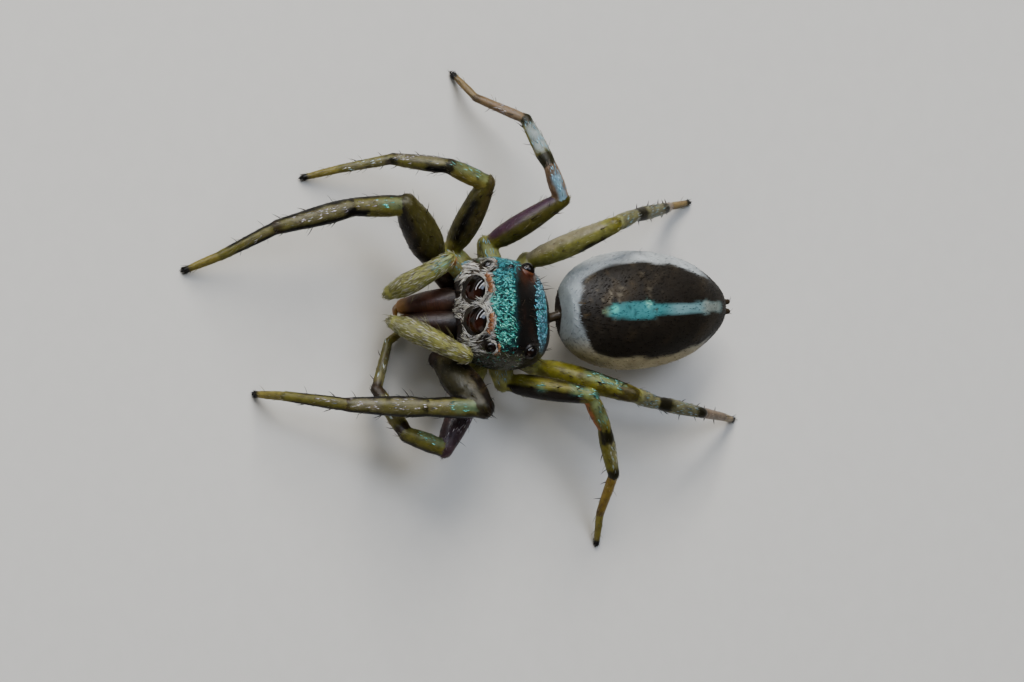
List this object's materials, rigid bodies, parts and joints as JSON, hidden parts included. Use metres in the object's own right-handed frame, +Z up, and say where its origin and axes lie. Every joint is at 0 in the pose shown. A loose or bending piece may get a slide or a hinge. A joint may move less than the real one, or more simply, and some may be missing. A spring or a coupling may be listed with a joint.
{
  "type": "jumping spider model",
  "caption": "Life-size still model of a banded jumping spider in a stalking pose, standing on its leg tips.",
  "frame": {"origin": "middle of the spider's footprint on the floor", "axes": "+Z up; the spider heads towards -Y and its right side is at -X"},
  "size_m": [0.0094, 0.012, 0.0024],
  "materials": {
    "head_shield": "dark brown chitin, scaled in turquoise and white",
    "abdomen_skin": "brown-black skin with white rim and turquoise stripe",
    "waist": "brown chitin",
    "eye_lens": "polished dark lens",
    "jaw_chitin": "glossy red-brown chitin",
    "fang_chitin": "glossy dark chitin",
    "palp_skin": "pale yellow-green with white hairs",
    "femur_chitin": "olive and dark brown chitin",
    "patella_chitin": "olive chitin with turquoise scales",
    "tibia_chitin": "banded olive chitin",
    "metatarsus_chitin": "yellow-brown chitin",
    "tarsus_chitin": "pale orange chitin, dark tip"
  },
  "bodies": {
    "root": {"prosoma": "head_shield", "abdomen": "abdomen_skin", "pedicel": "waist", "eye_AME_L": "eye_lens", "eye_AME_R": "eye_lens", "eye_ALE_L": "eye_lens", "eye_ALE_R": "eye_lens", "eye_PME_L": "eye_lens", "eye_PME_R": "eye_lens", "eye_PLE_L": "eye_lens", "eye_PLE_R": "eye_lens", "chelicera_L": "jaw_chitin", "fang_L": "fang_chitin", "palp_L_femur": "palp_skin", "palp_L_tip": "palp_skin", "chelicera_R": "jaw_chitin", "fang_R": "fang_chitin", "palp_R_femur": "palp_skin", "palp_R_tip": "palp_skin", "leg_L1_femur": "femur_chitin", "leg_L1_patella": "patella_chitin", "leg_L1_tibia": "tibia_chitin", "leg_L1_metatarsus": "metatarsus_chitin", "leg_L1_tarsus": "tarsus_chitin", "leg_L2_femur": "femur_chitin", "leg_L2_patella": "patella_chitin", "leg_L2_tibia": "tibia_chitin", "leg_L2_metatarsus": "metatarsus_chitin", "leg_L2_tarsus": "tarsus_chitin", "leg_L3_femur": "femur_chitin", "leg_L3_patella": "patella_chitin", "leg_L3_tibia": "tibia_chitin", "leg_L3_metatarsus": "metatarsus_chitin", "leg_L3_tarsus": "tarsus_chitin", "leg_L4_femur": "femur_chitin", "leg_L4_patella": "patella_chitin", "leg_L4_tibia": "tibia_chitin", "leg_L4_metatarsus": "metatarsus_chitin", "leg_L4_tarsus": "tarsus_chitin", "leg_R1_femur": "femur_chitin", "leg_R1_patella": "patella_chitin", "leg_R1_tibia": "tibia_chitin", "leg_R1_metatarsus": "metatarsus_chitin", "leg_R1_tarsus": "tarsus_chitin", "leg_R2_femur": "femur_chitin", "leg_R2_patella": "patella_chitin", "leg_R2_tibia": "tibia_chitin", "leg_R2_metatarsus": "metatarsus_chitin", "leg_R2_tarsus": "tarsus_chitin", "leg_R3_femur": "femur_chitin", "leg_R3_patella": "patella_chitin", "leg_R3_tibia": "tibia_chitin", "leg_R3_metatarsus": "metatarsus_chitin", "leg_R3_tarsus": "tarsus_chitin", "leg_R4_femur": "femur_chitin", "leg_R4_patella": "patella_chitin", "leg_R4_tibia": "tibia_chitin", "leg_R4_metatarsus": "metatarsus_chitin", "leg_R4_tarsus": "tarsus_chitin"}
  },
  "joints": []
}
